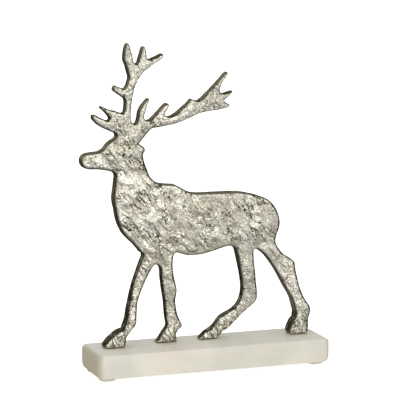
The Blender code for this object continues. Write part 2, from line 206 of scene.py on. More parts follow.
class Finish(Nodes):
    """A Principled material with its own textures."""

    def __init__(self, name, roughness=0.5, metallic=0.0):
        self.material = bpy.data.materials.new(name)
        self.material.use_nodes = True
        super().__init__(self.material.node_tree, "Principled BSDF", "Object")
        self.set("Roughness", roughness)
        self.set("Metallic", metallic)

    def noise(self, size, detail=2.0, roughness=0.5, where=None):
        """Noise with features of about that size in metres, 0 to 1 with a mean of 0.5."""
        values = {"Vector": where or self.place, "Scale": 1 / size, "Detail": detail,
                  "Roughness": roughness}
        return self.add("ShaderNodeTexNoise", {}, values)

    def stretch(self, scale, turn=(0, 0, 0)):
        """The object's own coordinates, turned and then scaled."""
        turned = self.add("ShaderNodeVectorRotate", {"rotation_type": "EULER_XYZ"},
                          {"Vector": self.place, "Rotation": turn})
        return self.add("ShaderNodeVectorMath", {"operation": "MULTIPLY"}, {0: turned, 1: scale})

    def mix(self, share, first, second):
        """The first colour where share is 0, the second where it is 1."""
        return self.add("ShaderNodeMix", {"data_type": "RGBA"}, {0: share, 6: first, 7: second}, 2)

    def mark(self, name):
        """A value that the mesh carries under that name."""
        return self.add("ShaderNodeAttribute", {"attribute_name": name}, {}, "Fac")

    def bump(self, height, depth):
        """Fine relief: a height from 0 to 1 stands for that depth in metres."""
        values = {"Height": height, "Distance": depth, "Strength": 1.0}
        return self.add("ShaderNodeBump", {}, values)


def marble_finish():
    """White marble: soft grey and warm clouds, a few thin grey veins, a pinkish place, painted
    light that makes the top a little brighter, and painted shade that makes the ends duller and
    yellowish."""
    finish = Finish("honed_marble")
    clouds = finish.noise(0.05, 3.0)
    warp = finish.noise(0.03, 3.0)
    bent = finish.stretch((1.0, 0.6, 0.35), (0.2, 0.5, 0.3))
    veins = finish.noise(0.045, 5.0, 0.62, bent)
    thin = 1 - veins.off(0.5).between(0.0, 0.012)
    strength = warp.between(0.48, 0.70)
    pink = finish.noise(0.035, 2.0, 0.5, finish.stretch((0.5, 1.0, 2.6)))
    warm = finish.noise(0.022, 3.0, 0.55, finish.stretch((0.6, 1.0, 1.6)))
    colour = finish.mix(clouds.between(0.35, 0.7), MARBLE_PALE, MARBLE_GREY)
    colour = finish.mix(warm.between(0.50, 0.66) * 0.30, colour, MARBLE_WARM)
    colour = finish.mix(thin * strength * 0.45, colour, MARBLE_VEIN)
    # Painted light: the top a little brighter.
    painted_top_light = finish.axis(2).between(*(BLOCK_TOP - depth for depth in TOP_LIGHT_FROM))
    colour = finish.mix(painted_top_light * 0.45, colour, MARBLE_TOP_LIGHT)
    along = finish.axis(0)
    stained = 1 - along.off(STAIN_PLACE).between(0.0, STAIN_REACH)
    colour = finish.mix(pink.between(0.46, 0.62) * stained * 0.35, colour, MARBLE_STAIN)
    # Painted shade: the ends duller and yellowish.
    painted_end_shade = along.off(BLOCK_MIDDLE).between(*(BLOCK_END - depth for depth in END_SHADE_FROM))
    colour = finish.mix(painted_end_shade * 0.9, colour, MARBLE_END_SHADE)
    finish.set("Base Color", colour)
    finish.set("Roughness", finish.noise(0.012, 3.0) * 0.14 + 0.30)
    finish.set("Normal", finish.bump(finish.noise(0.004, 4.0), 0.00008))
    return finish.material


def arris(rise, reach, height):
    """How far in a quarter-ellipse arris lies at each rise: reach * (1 - sqrt(1 - t^2)), where t
    falls from 1 at the face to 0 at the arris's height."""
    t = np.clip(1 - rise / height, 0, 1)
    return reach * (1 - np.sqrt(1 - t * t))


def marble_block(low, high, material):
    """Rings stacked from the underside to the top. A ring is a rectangle with quarter-circle
    corners, moved in by the arrises of the sides and of the ends at its height. The long faces
    wander by a slow noise."""
    centre = (np.array(low) + high) / 2
    half = (np.array(high) - low) / 2
    ease = 1 - np.cos(np.linspace(0, np.pi / 2, EASE_STEPS + 1))
    foot = BLOCK_FOOT_RISE * ease
    rise = np.concatenate([BLOCK_EASE * ease, foot[foot > BLOCK_EASE]])
    from_top = np.concatenate([BLOCK_EASE * ease, [BLOCK_END_TOP * 0.6, BLOCK_END_TOP]])
    depth = 2 * half[2]
    middle_rows = np.linspace(BLOCK_FOOT_RISE, depth - BLOCK_END_TOP, MIDDLE_ROWS + 2)[1:-1]
    levels = np.concatenate([rise, middle_rows, depth - from_top[::-1]])
    side_in = arris(np.minimum(levels, depth - levels), BLOCK_EASE, BLOCK_EASE)
    end_in = np.maximum(arris(levels, BLOCK_FOOT_REACH, BLOCK_FOOT_RISE),
                        arris(depth - levels, BLOCK_END_TOP, BLOCK_END_TOP))

    quarter = np.linspace(0, np.pi / 2, CORNER_STEPS + 1) + np.pi / 2 * np.arange(4)[:, None]
    unit = np.stack([np.cos(quarter), np.sin(quarter)], axis=2).reshape(-1, 2)
    signs = np.repeat([[1, 1], [-1, 1], [-1, -1], [1, -1]], CORNER_STEPS + 1, axis=0)
    inset = np.stack([end_in - side_in, 0 * side_in], axis=1)[:, None]
    rows = signs * (half[:2] - BLOCK_CORNER - inset)
    rows = rows + unit * (BLOCK_CORNER - side_in[:, None, None])

    outer = rows[len(rise)]
    following = (np.arange(len(outer)) + 1) % len(outer)
    counts = np.linalg.norm(outer[following] - outer, axis=1) / SIDE_STEP
    counts = np.maximum(1, counts.astype(int))
    which = np.repeat(np.arange(len(outer)), counts)
    share = (np.arange(len(which)) - (np.cumsum(counts) - counts)[which]) / counts[which]
    share = share[:, None]
    rows = rows[:, which] * (1 - share) + rows[:, following[which]] * share
    x, y = rows[:, :, 0] + centre[0], rows[:, :, 1] + centre[1]
    z = np.repeat(low[2] + levels[:, None], x.shape[1], axis=1)
    wander = BLOCK_WANDER * rough_noise(x * 30 + y * 11, z * 60 + y * 25, 3, 2)
    y = y - np.sign(y) * np.abs(wander) * (np.abs(rows[:, :, 1]) / half[1]) ** 4
    points = np.stack([x, y, z], axis=2).reshape(-1, 3)
    count = x.shape[1]
    ring, side = np.meshgrid(np.arange(len(levels) - 1), np.arange(count), indexing="ij")
    start = ring * count + side
    beside = ring * count + (side + 1) % count
    walls = np.stack([start, beside, beside + count, start + count], axis=2).reshape(-1, 4)
    last = (len(levels) - 1) * count
    faces = walls.tolist() + [list(range(count))[::-1], list(range(last, last + count))]
    return build_mesh("marble_block", points, faces, material, BLOCK_SHARP)


block = marble_block(*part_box("marble_base"), marble_finish())
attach(block, "root")
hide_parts("marble_base")


# Pads.
# Four small discs of off-white rubber, stuck under the block near its corners so that the
# marble stands just clear of the table.
RUBBER_PALE = (0.60, 0.56, 0.46)
RUBBER_YELLOWED = (0.50, 0.46, 0.37)


def pad_finish():
    """Matt rubber, a little yellowed in patches, with a fine moulded grain."""
    finish = Finish("pad_rubber")
    tone = finish.noise(0.006, 3.0).between(0.35, 0.7)
    finish.set("Base Color", finish.mix(tone, RUBBER_PALE, RUBBER_YELLOWED))
    finish.set("Roughness", finish.noise(0.003, 3.0) * 0.2 + 0.5)
    finish.set("Normal", finish.bump(finish.noise(0.0008, 2.0), 0.00005))
    return finish.material


rubber = pad_finish()
for pad_name in ("pad_front_left", "pad_front_right", "pad_back_left", "pad_back_right"):
    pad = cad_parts[pad_name].data
    pad.materials.clear()
    pad.materials.append(rubber)


# Reindeer.
# A plate of aluminium cast in sand and plated to a nickel-silver colour, its face hammered and
# pitted, with dark patina left in the pits and on the rim. It stands on its four hooves.
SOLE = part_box("reindeer")[0][2]
FIGURE_HEIGHT = 0.3265         # soles of the hooves to the tip of the front antler
PLATE_THICKNESS = 0.0127
PLATE_SET_BACK = 0.0011        # face of the plate behind the middle of the block
EDGE_DROP = 0.0030             # depth of the round on the edge of the face
BODY_ROUNDING = 0.0030         # its width on the neck and the body
LIMB_ROUNDING = 0.0012         # and on the legs and the antlers
FACE_CROWN = 0.0018            # how far broad parts stand proud of thin ones
CROWN_REACH = 0.0100
DENT_DEPTH = 0.0004            # the broad dents of the solid, repeated here under the fine ones
DENT_SPACING_ACROSS = 0.0226
DENT_SPACING_ALONG = 0.0390
DENT_LEAN = math.radians(37)
DENT_WANDER = 1.0
LEG_ADVANCE = 0.0050           # near hooves forward of the plate's face
LEG_RETREAT = 0.0040           # far hooves behind it
RIM_STEP = 0.00095             # spacing of points along the outline
FACE_GRID = 0.00082            # and on the face
BACK_GRID = 0.0030
RIM_ROWS = 9
RIM_ROUGHNESS = 0.00022
RIM_GRAIN = 0.0022             # size of its roughness
RIM_STREAK = (0.0090, 0.0030)  # length and width of its scratches
RIM_SHARP = math.radians(55)
BACK_WANDER = 0.00015
EDGE_ROWS = (0.00006, 0.00024, 0.00056, 0.00105, 0.00175, 0.00250)
FAR_FROM_EDGE = 0.030          # distances from the outline are not told apart past this

# The outline, clockwise from the front: (along, up) from the middle of the block and the soles
# of the hooves, in units of which the height has OUTLINE_TOP. It is smooth but at each CORNER.
CORNER = True
OUTLINE_TOP = 995.5
UNIT = FIGURE_HEIGHT / OUTLINE_TOP
JAW_AND_MUZZLE = (
    (-306, 566), (-307.5, 572), (-315, 578.5), (-328, 583.5), (-342, 586.5), (-358, 589.5),
    (-378, 591), (-400, 593), (-411, 597), (-419, 606), (-422.7, 618), (-420.5, 630),
    (-415, 637.5), (-404, 643), (-390, 645), (-368, 647), (-357, 649.5), (-347.5, 655),
    (-340, 663.5), (-334, 670.5), (-319, 682), (-308.5, 689), (-303.5, 694.5), (-303, 700),
    (-308, 706),
)
BROW_TINES = (
    (-320, 711.5), (-334, 718), (-346, 724), (-359, 732), (-369, 740), (-377, 749),
    (-382, 758), (-380, 766), (-374, 767.5), (-364, 763), (-354, 757.5), (-344, 752.5),
    (-334, 748.5), (-327, 748), (-323.5, 753.5), (-326.5, 760), (-335, 770.5), (-344, 780),
    (-353.5, 790), (-351, 795, CORNER), (-338, 788.5), (-326, 783), (-314, 779.5), (-303, 777),
    (-290, 772), (-281, 769.3), (-275.5, 772), (-272.5, 782),
)
FRONT_ANTLER = (
    (-271, 795), (-270.7, 806), (-273.5, 816), (-281, 822.5), (-292, 830), (-303, 838),
    (-310, 844.5), (-309, 854), (-304.5, 860, CORNER), (-294, 855.5), (-284, 851.5),
    (-275, 848.5), (-269.5, 852.5), (-264.5, 860), (-261.5, 870), (-258.2, 880), (-258, 889),
    (-261, 899), (-265, 914), (-268.3, 926), (-272.5, 936), (-274.8, 946), (-274, 957),
    (-272, 970), (-269, 983), (-266, 990.5), (-261.5, 995.5, CORNER), (-256, 986.5),
    (-253.5, 977), (-250.5, 966), (-247.5, 954.5), (-245, 943), (-242.5, 934), (-238, 929),
    (-232, 928.5), (-227, 932), (-224.5, 940), (-220.5, 952), (-216.3, 965), (-213, 976),
    (-210.5, 981.5), (-207, 983.5), (-203.5, 979), (-201, 970), (-199.7, 959), (-198, 948),
    (-194, 942.3), (-188, 940.7), (-182, 942.5), (-176, 945.5), (-169, 947.5), (-160, 951.5),
    (-151, 955.5), (-144.5, 958.5, CORNER), (-141.5, 952.5, CORNER), (-146, 944.5),
    (-156, 937), (-168, 929.5), (-180, 922.5), (-194.5, 912), (-208.5, 902), (-218.7, 890.3),
    (-227.6, 878.3), (-233.6, 866.4), (-239.5, 855), (-242.8, 841.6), (-246.4, 826.2),
    (-249.2, 810.8), (-251.6, 795), (-253.5, 778), (-253.7, 762), (-252.7, 748), (-250.3, 740),
    (-245.5, 735), (-239, 733),
)
REAR_ANTLER = (
    (-232.5, 737.5), (-229, 747.5), (-226.5, 760), (-224, 773), (-218, 785), (-210.5, 796),
    (-202, 805), (-195, 812), (-191, 814.5, CORNER), (-191.5, 806), (-197.5, 794.5),
    (-200.5, 784), (-203.8, 772), (-208, 760), (-208.5, 751.5), (-203, 745.5), (-195, 742.8),
    (-186.5, 744.8), (-176, 753), (-164, 764.5), (-152, 776.5), (-141, 787), (-133.5, 793.5),
    (-127.5, 796.5), (-123.5, 791.5), (-126.5, 782), (-132, 771.5), (-137.5, 762),
    (-134, 756), (-126, 753), (-116, 753), (-105.5, 757), (-91, 766.5), (-77, 777.5),
    (-63, 789), (-53, 798), (-44.5, 807.5, CORNER), (-36, 803), (-27, 800.5), (-18, 801.7),
    (-7, 809), (9, 823.8), (25, 838.5), (41, 854), (57, 870), (70.5, 884.5),
    (78.5, 892, CORNER), (80.5, 886), (74.5, 875.5), (66, 865), (60.5, 856.5), (55, 845),
    (52.5, 834.5), (55, 825), (63, 821.5), (73, 821.7), (84, 825.3), (97.5, 829, CORNER),
    (90.5, 818.5), (81, 809.5), (71, 801), (68, 797), (73.5, 791.8), (82, 787),
    (88.5, 782, CORNER), (81, 776.3), (71, 772.5), (58.5, 771), (45, 767.5), (25, 766.5),
    (4, 763.7), (-18, 759.5), (-38, 751.7), (-58, 743), (-78, 736), (-98, 729.5),
    (-116, 725.7), (-134, 723), (-152, 720.5), (-166, 718.5), (-178, 717.2),
)
NAPE_AND_BACK = (
    (-186.5, 712.5), (-195.3, 703.5), (-205.3, 692.5), (-214.3, 682), (-221.5, 673.5),
    (-225.5, 668, CORNER), (-219, 662.8), (-211.5, 658.5), (-206.3, 652), (-206, 644),
    (-210, 636.5), (-212.5, 631.5, CORNER), (-211, 620.5), (-207.7, 607.5), (-202.8, 593.5),
    (-197.3, 579.5), (-192.3, 566.5), (-186.5, 556.5), (-177.5, 546.8), (-167.5, 539.5),
    (-156, 534.8), (-142, 531.8), (-122, 529.5), (-102, 527), (-88, 520), (-74, 511.5),
    (-60, 503.7), (-46, 498.5), (-25, 495.3), (5, 494.7), (60, 494.3), (110, 493),
    (132, 490.5), (158, 485), (180, 479.5), (202, 471.7), (223.5, 461.5), (237, 450),
    (249, 435.3), (258.3, 417.5), (264.5, 399), (267, 380), (263.8, 361.5), (255.5, 340),
)
NEAR_HIND_LEG = (
    (252.3, 328), (252.3, 315), (257.8, 302), (268, 287), (283.5, 272), (299, 262),
    (312, 252.5), (320, 243.5), (322.3, 230), (324.3, 212), (328.2, 195.5), (332.3, 175.5),
    (337.3, 156.5), (343.3, 140), (351.2, 122.5), (361, 106), (369.3, 94), (372.5, 82),
    (370.3, 67.5), (366, 56), (364.5, 44), (364.5, 24), (362.5, 8), (360, 0, CORNER),
    (303, 0, CORNER), (298.5, 7), (298.5, 18), (302.5, 29), (308, 41), (314, 50),
    (320, 55.5), (321, 65), (322, 74), (318, 90), (313.5, 107), (309, 121), (302.5, 134.5),
    (288.5, 157.5), (274.5, 183), (259.5, 210.5), (245.5, 233), (230.5, 254), (215.5, 273),
    (203, 284),
)
FAR_HIND_LEG = (
    (192.5, 291.5), (183, 296.3), (176.8, 296.5), (174.2, 291), (174.2, 276), (175.2, 254),
    (178.6, 228.3), (181.1, 205.3), (183.5, 183.5), (187, 162.3), (188.6, 143.5), (187.5, 125),
    (180, 113.3), (166, 101), (147, 86.7), (127, 69), (107, 50.7), (91, 35.3), (81, 28),
    (70, 24), (63, 17), (55.5, 8), (48, 0, CORNER), (-15, 0, CORNER), (-11.5, 7), (-3, 15),
    (8, 25), (20, 32.3), (33, 40), (40.5, 47.5), (50, 60), (60, 71.5), (74, 80.2),
    (92, 88.7), (108, 98.2), (120.5, 109.7), (128.5, 124), (134, 142), (136.2, 162),
    (135.7, 178), (132.7, 198), (129.3, 218), (125.3, 236), (120.8, 256), (116.4, 275),
    (112.7, 290), (109.5, 300.5),
)
BELLY = (
    (102.5, 308), (92.5, 312), (78, 311.7), (60, 307), (38, 301), (16, 295.5), (-6, 291),
    (-28, 289.3), (-50, 289.3), (-69, 292.3), (-85, 297.8), (-96, 301),
)
FAR_FORELEG = (
    (-104, 298.5), (-108.8, 288), (-110.8, 270), (-110.8, 248), (-108.3, 229), (-103.8, 208.5),
    (-98.8, 190.5), (-96.2, 174), (-98.2, 157.5), (-100.2, 141), (-98.2, 122.5), (-95.2, 105),
    (-90.8, 89), (-84.8, 75), (-78.5, 62.5), (-76, 53), (-82, 43.5), (-90.5, 35.5),
    (-96, 26.5), (-96, 13), (-94, 0, CORNER), (-164, 0, CORNER), (-162, 6), (-155, 14),
    (-147, 25), (-138.5, 38), (-130, 49), (-127, 58), (-128.8, 72), (-131.8, 90),
    (-133.8, 112), (-136.3, 137), (-140.3, 160), (-144.8, 185), (-147.8, 207), (-150.2, 228),
    (-151, 245),
)
NEAR_FORELEG = (
    (-154, 255), (-162, 262.8), (-172, 265.7), (-179, 260), (-188.3, 246), (-199, 228.5),
    (-210, 208.5), (-220.7, 186), (-230.5, 164), (-236.8, 145), (-239.8, 121.5), (-241.8, 98),
    (-243.8, 76.5), (-250.8, 64.5), (-262, 52), (-273, 39), (-278, 30), (-279.5, 16),
    (-282, 0, CORNER), (-347, 0, CORNER), (-350, 6), (-346.5, 14), (-338, 25), (-328, 34.7),
    (-317, 43.7), (-304.5, 51.7), (-292.5, 56.5), (-284.5, 58.7), (-281.3, 68), (-276.5, 80),
    (-271.5, 98), (-268.5, 118), (-263.5, 141), (-258, 166), (-250.5, 195), (-242, 222),
    (-231, 252), (-220.5, 280), (-213.7, 298),
)
CHEST_AND_THROAT = (
    (-215, 305), (-223, 310), (-229, 318.5), (-243.5, 335.5), (-260.5, 352.5), (-280.5, 374.5),
    (-291.5, 394), (-299.8, 415), (-305.3, 437), (-308, 456), (-312, 472), (-314.3, 494),
    (-312.5, 511), (-309.5, 531), (-307.5, 550),
)
OUTLINE = (
    JAW_AND_MUZZLE + BROW_TINES + FRONT_ANTLER + REAR_ANTLER + NAPE_AND_BACK + NEAR_HIND_LEG
    + FAR_HIND_LEG + BELLY + FAR_FORELEG + NEAR_FORELEG + CHEST_AND_THROAT
)

# The edge's rounding changes from that of the limbs to that of the body between these heights,
# and back again between these, in the outline's units.
BODY_START = (200, 300)
BODY_END = (690, 750)
LEG_TOP = 255                  # the legs begin to step forward or back here
LEG_ANKLE = 60                 # and have done so here
LEG_PARTINGS = (-170, -50, 208)
NEAR_LEGS = (1, 0, 0, 1)       # of the four legs from the left
FAR_LEGS = (0, 1, 1, 0)
BACK_RETREAT_SHARE = 0.75      # how far the back follows the far legs

# The fine relief: how large its features are across and along the lean, and how high they
# stand or how deep they go, in millimetres. Bends and wander keep them from lying in rows.
BEND_SIZE = (13, 20)
BEND_REACH = 3.0
WANDER_SIZE = 15
WANDER_REACH = 3.5
SWELL_SIZE = (12, 26)
PLATE_SIZE = (5.0, 16)
PLATE_HEIGHT = 0.40
FLAKE_SIZE = (2.6, 6.5)
FLAKE_HEIGHT = 0.14
GOUGE_SIZE = (5.5, 13)
GOUGE_DEPTH = 0.45
PIT_SIZE = (2.4, 3.8)
PIT_DEPTH = 0.2
GRAIN_SIZE = 2.2
GRAIN_HEIGHT = 0.14
BUSY_SIZE = (17, 26)           # regions with more or less of it all
FINE_FADE = 0.004              # metres in from the edge where it is whole

# Patina and painted shade: a darker band along the edges of the legs, painted shade as a dark line
# round the edge where that looks up or to the right, and duller or brighter places of patina:
# (along, up) in the outline's units, reach and strength.
EDGE_BAND = 0.0045
# Painted shade: the dark line along the edge where it looks up or to the right.
SHADE_LINE_WIDTH = 0.0017
SHADE_LINE_WIDER_RIGHT = 0.0003
SHADE_LINE_WIDER_BELOW = 0.0012      # and more so below the antlers
SHADE_LINE_FADE = 0.001
HIND_SHANK = (60, 85)          # above its hoof the hind leg's rim is rubbed brighter
HIND_ALONG = (208, 228)
CHEEK = (-262, 695, 80, 0.80)
BACK = (50, 450, 80, 0.65)
BEAM = (0, 825, 95, 0.55)
CROWN = (-225, 940, 55, 0.35)
THROAT = (-272, 455, 90, -0.85)
HOCK = (150, 195, 70, -0.60)
SHIN = (-248, 215, 55, 0.55)
ELBOW = (-160, 330, 65, -0.55)
UNDERSIDE = (40, 325, 70, -0.50)
PATINA_PLACES = (CHEEK, BACK, BEAM, CROWN, THROAT, HOCK, SHIN, ELBOW, UNDERSIDE)

# Colours of the metal: the face, its patina, the rim, the back and the soles.
SILVER = (0.96, 0.925, 0.805)
SILVER_ROUGH = (0.72, 0.675, 0.555)
SILVER_DULL = (0.68, 0.64, 0.525)
GLANCING = (0.62, 0.58, 0.44)  # what it reflects at a low angle
PATINA = (0.44, 0.41, 0.32)
PATINA_DEEP = (0.09, 0.083, 0.056)
CRACK = (0.10, 0.092, 0.062)
FLECK = (0.07, 0.064, 0.042)
OLIVE_DARK = (0.25, 0.235, 0.17)
OLIVE_PALE = (0.46, 0.43, 0.33)
OLIVE_RUBBED = (0.74, 0.70, 0.57)
SOOT = (0.028, 0.026, 0.019)
SOOT_PALE = (0.13, 0.12, 0.085)
SCRATCH = (0.50, 0.47, 0.37)
# Painted highlight: a bright line along the back edge of the legs' rims.
RIM_HIGHLIGHT_COLOUR = (0.85, 0.81, 0.68)
BACK_PALE = (0.66, 0.64, 0.56)
BACK_DARK = (0.52, 0.50, 0.42)
SOLE_BROWN = (0.46, 0.40, 0.24)

# The heights between which the near-black of the legs' rims ends and, above the soles, the deep
# tracks of the hooves and the brown of the soles.
SOOTY_BELOW = (0.20, 0.24)
TRACKS_BELOW = (0.010, 0.034)
BROWN_BELOW = (0.0008, 0.0028)


def smooth_outline(step):
    """Closed curve through OUTLINE in metres: cubic spans whose slope at a point is the mean of
    the directions to its neighbours, weighted by nearness, and vanishes at a corner."""
    knots = np.array([(p[0], p[1]) for p in OUTLINE]) * UNIT
    corner = np.array([len(p) > 2 for p in OUTLINE])
    to_last = knots - np.roll(knots, 1, axis=0)
    to_next = np.roll(knots, -1, axis=0) - knots
    near = np.linalg.norm(to_last, axis=1)[:, None]
    far = np.linalg.norm(to_next, axis=1)[:, None]
    slope = (to_last / near * far + to_next / far * near) / (near + far)
    slope[corner] = 0
    counts = np.maximum(1, np.ceil(far[:, 0] / step).astype(int))
    which = np.repeat(np.arange(len(knots)), counts)
    after = (which + 1) % len(knots)
    t = ((np.arange(len(which)) - (np.cumsum(counts) - counts)[which]) / counts[which])[:, None]
    curve = (2 * t ** 3 - 3 * t ** 2 + 1) * knots[which] + (3 * t ** 2 - 2 * t ** 3) * knots[after]
    curve += (t ** 3 - 2 * t ** 2 + t) * slope[which] * far[which]
    curve += (t ** 3 - t ** 2) * slope[after] * far[which]
    return curve


def depth_inside(points, curve):
    """Distance from the outline, negative outside it: the nearest of its segments in a band
    about each group of points, and the even-odd rule for the sign."""
    result = np.empty(len(points))
    start, end = curve, np.roll(curve, -1, axis=0)
    low, high = np.minimum(start[:, 1], end[:, 1]), np.maximum(start[:, 1], end[:, 1])
    order = np.argsort(points[:, 1])
    for group in np.array_split(order, len(points) // 400 + 1):
        p = points[group]
        band = (high > p[:, 1].min() - FAR_FROM_EDGE) & (low < p[:, 1].max() + FAR_FROM_EDGE)
        a, d = start[band], (end - start)[band]
        off_x, off_z = p[:, 0, None] - a[:, 0], p[:, 1, None] - a[:, 1]
        t = np.clip((off_x * d[:, 0] + off_z * d[:, 1]) / (d ** 2).sum(axis=1), 0, 1)
        gap = np.hypot(off_x - t * d[:, 0], off_z - t * d[:, 1]).min(axis=1)
        crosses = (a[:, 1] > p[:, 1, None]) != (a[:, 1] + d[:, 1] > p[:, 1, None])
        reach = off_z / np.where(d[:, 1] == 0, 1, d[:, 1]) * d[:, 0]
        inside = (crosses & (off_x < reach)).sum(axis=1) % 2 == 1
        result[group] = np.where(inside, np.minimum(gap, FAR_FROM_EDGE), -gap)
    return result


def inward(curve):
    """Unit normals that point into the metal."""
    tangent = np.roll(curve, -1, axis=0) - np.roll(curve, 1, axis=0)
    tangent = tangent / np.linalg.norm(tangent, axis=1)[:, None]
    return np.stack([tangent[:, 1], -tangent[:, 0]], axis=1)


def hex_grid(curve, step, margin):
    """Staggered grid inside the outline that keeps the margin to it."""
    low, high = curve.min(axis=0), curve.max(axis=0)
    rows = np.arange(low[1], high[1], step * math.sqrt(3) / 2)
    x, z = np.meshgrid(np.arange(low[0], high[0], step), rows)
    x = x + (np.arange(len(rows)) % 2)[:, None] * step / 2
    grid = np.stack([x.ravel(), z.ravel()], axis=1)
    return grid[depth_inside(grid, curve) >= margin]


def edge_row(curve, inset, step):
    """The outline moved in by the inset, where nothing else of it is nearer; of points that
    crowd into one small square, one stays."""
    row = curve + inward(curve) * inset
    row = row[depth_inside(row, curve) >= inset * 0.93]
    square = np.round(row / (step * 0.75)).astype(int)
    kept = np.sort(np.unique(square, axis=0, return_index=True)[1])
    return row[kept]


def fill_outline(curve, inner):
    """Triangles over the outline's area through the inner points, whose curve comes first."""
    points = np.concatenate([curve, inner])
    loop = [list(range(len(curve)))]
    result = delaunay_2d_cdt([Vector(p) for p in points.tolist()], [], loop, 1, 1e-7)
    first = [ids[0] for ids in result[3]]
    return points, [[first[i] for i in face] for face in result[2]]


def eased(t):
    """0 to 1 by 3t^2 - 2t^3, level at both ends."""
    t = np.clip(t, 0, 1)
    return t * t * (3 - 2 * t)


def leaned(x, z):
    """Coordinates turned by the lean of the dents."""
    across = x * math.cos(DENT_LEAN) + z * math.sin(DENT_LEAN)
    along = z * math.cos(DENT_LEAN) - x * math.sin(DENT_LEAN)
    return across, along


def leg_share(x, z):
    """Which leg a point is on, and how far down from the plate to the ankle, 0 to 1."""
    leg = np.searchsorted(np.array(LEG_PARTINGS) * UNIT, x)
    return leg, eased((LEG_TOP - z / UNIT) / (LEG_TOP - LEG_ANKLE))


def cells(u, v, seed):
    """Points scattered one to a unit square: distance to the nearest, and its random number."""
    best, number = np.full(u.shape, np.inf), np.zeros(u.shape)
    for i in (-1, 0, 1):
        for j in (-1, 0, 1):
            cu, cv = np.floor(u) + i, np.floor(v) + j
            gap = np.hypot(cu + scatter(cu, cv, seed) - u, cv + scatter(cu, cv, seed + 1) - v)
            number = np.where(gap < best, scatter(cu, cv, seed + 2), number)
            best = np.minimum(best, gap)
    return best, number


def pits(u, v, seed, share, radius):
    """Pits from 0 at their rims to 1: only that share of the cells has one."""
    gap, number = cells(u, v, seed)
    return np.where(number < share, eased(1 - gap / radius), 0)


def torn(u, v, seed, octaves, width):
    """Plates with steep ragged edges, -1 to 1: rough noise pushed away from its zero line by
    tanh. Also the noise itself, which is 0 along the edges."""
    noise = rough_noise(u, v, seed, octaves)
    return np.tanh(noise / width), noise


def body_share(z):
    """1 on the body and the neck, 0 on the legs and the antlers."""
    up = (z / UNIT - BODY_START[0]) / (BODY_START[1] - BODY_START[0])
    over = (z / UNIT - BODY_END[0]) / (BODY_END[1] - BODY_END[0])
    return eased(up) - eased(over)


def old_patina(x, z):
    """How dull the metal is: the sum of strength * exp(-(distance / reach)^2) over the places."""
    dull = 0 * x
    for along, up, reach, strength in PATINA_PLACES:
        far = np.hypot(x / UNIT - along, z / UNIT - up) / reach
        dull = dull + strength * np.exp(-far * far)
    return dull


def hammered(x, z):
    """Height of the fine relief in millimetres: a slow swell, two sizes of torn plates that lean
    to the left, a few gouges, small pits and grain, all calmer on the limbs and where the metal
    is dull. Also how far dark patina fills it: the foot of each torn edge, gouges and pits."""
    across, along = (1000 * part for part in leaned(x, z))
    bend = rough_noise(across / BEND_SIZE[0], along / BEND_SIZE[1], 11, 3)
    across = across + BEND_REACH * bend
    along = along + WANDER_REACH * rough_noise(across / WANDER_SIZE, along / WANDER_SIZE, 17, 3)
    swell = rough_noise(across / SWELL_SIZE[0], along / SWELL_SIZE[1], 23, 2)
    plate, at_plate = torn(across / PLATE_SIZE[0], along / PLATE_SIZE[1], 29, 4, 0.10)
    flake, at_flake = torn(across / FLAKE_SIZE[0], along / FLAKE_SIZE[1], 37, 3, 0.16)
    gouge = pits(across / GOUGE_SIZE[0], along / GOUGE_SIZE[1], 41, 0.16, 0.5)
    pit = pits(across / PIT_SIZE[0], along / PIT_SIZE[1], 53, 0.22, 0.5)
    grain = rough_noise(x * 1000 / GRAIN_SIZE, z * 1000 / GRAIN_SIZE, 61, 2)
    busy = rough_noise(across / BUSY_SIZE[0], along / BUSY_SIZE[1], 67, 2)
    busy = np.clip(0.55 + 1.5 * busy, 0.1, 1)
    limb = 1 - body_share(z)
    dull = old_patina(x, z)
    calm = 1 - 0.5 * np.clip(dull, 0, 1)
    plates = PLATE_HEIGHT * plate + FLAKE_HEIGHT * flake
    height = (1.0 - 0.6 * limb) * calm * swell + plates * busy * (1 - 0.4 * limb)
    height = height - (GOUGE_DEPTH * gouge + PIT_DEPTH * pit) * busy + GRAIN_HEIGHT * grain
    scarp = np.exp(-((at_plate + 0.07) / 0.08) ** 2)
    chip = np.exp(-((at_flake + 0.10) / 0.12) ** 2)
    seams = (0.95 * scarp + 0.50 * chip) * (1 - 0.55 * limb)
    dark = (seams + 0.8 * gouge + 0.5 * pit) * busy
    return height, dark - 0.30 * grain - 0.25 * swell + 0.3 * dull


def face_depth(x, z, edge):
    """Y of the face: a quarter-ellipse round at the edge, crowned inwards by exp(-distance /
    reach), the solid's broad dents, the fine relief fading in from the edge, and the legs'
    steps. Also how far a point is into the round, the patina, and the share of limb."""
    body = body_share(z)
    turn = np.clip(1 - edge / (LIMB_ROUNDING + (BODY_ROUNDING - LIMB_ROUNDING) * body), 0, 1)
    rounding = EDGE_DROP * (1 - np.sqrt(1 - turn ** 2))
    crown = FACE_CROWN * np.exp(-edge / CROWN_REACH)
    across, along = leaned(x, z)
    across = across * 2 * np.pi / DENT_SPACING_ACROSS
    along = along * 2 * np.pi / DENT_SPACING_ALONG
    broad = np.sin(across + DENT_WANDER * np.sin(along))
    broad = DENT_DEPTH * broad * np.cos(along - DENT_WANDER * np.sin(across))
    inside = np.clip(edge / BODY_ROUNDING, 0, 1)
    height, dark = hammered(x, z)
    leg, down = leg_share(x, z)
    step = down * (LEG_RETREAT * np.array(FAR_LEGS)[leg] - LEG_ADVANCE * np.array(NEAR_LEGS)[leg])
    fine = height / 1000 * (0.2 + 0.8 * np.clip(edge / FINE_FADE, 0, 1))
    return PLATE_SET_BACK + rounding + crown + broad * inside - fine + step, turn, dark, 1 - body


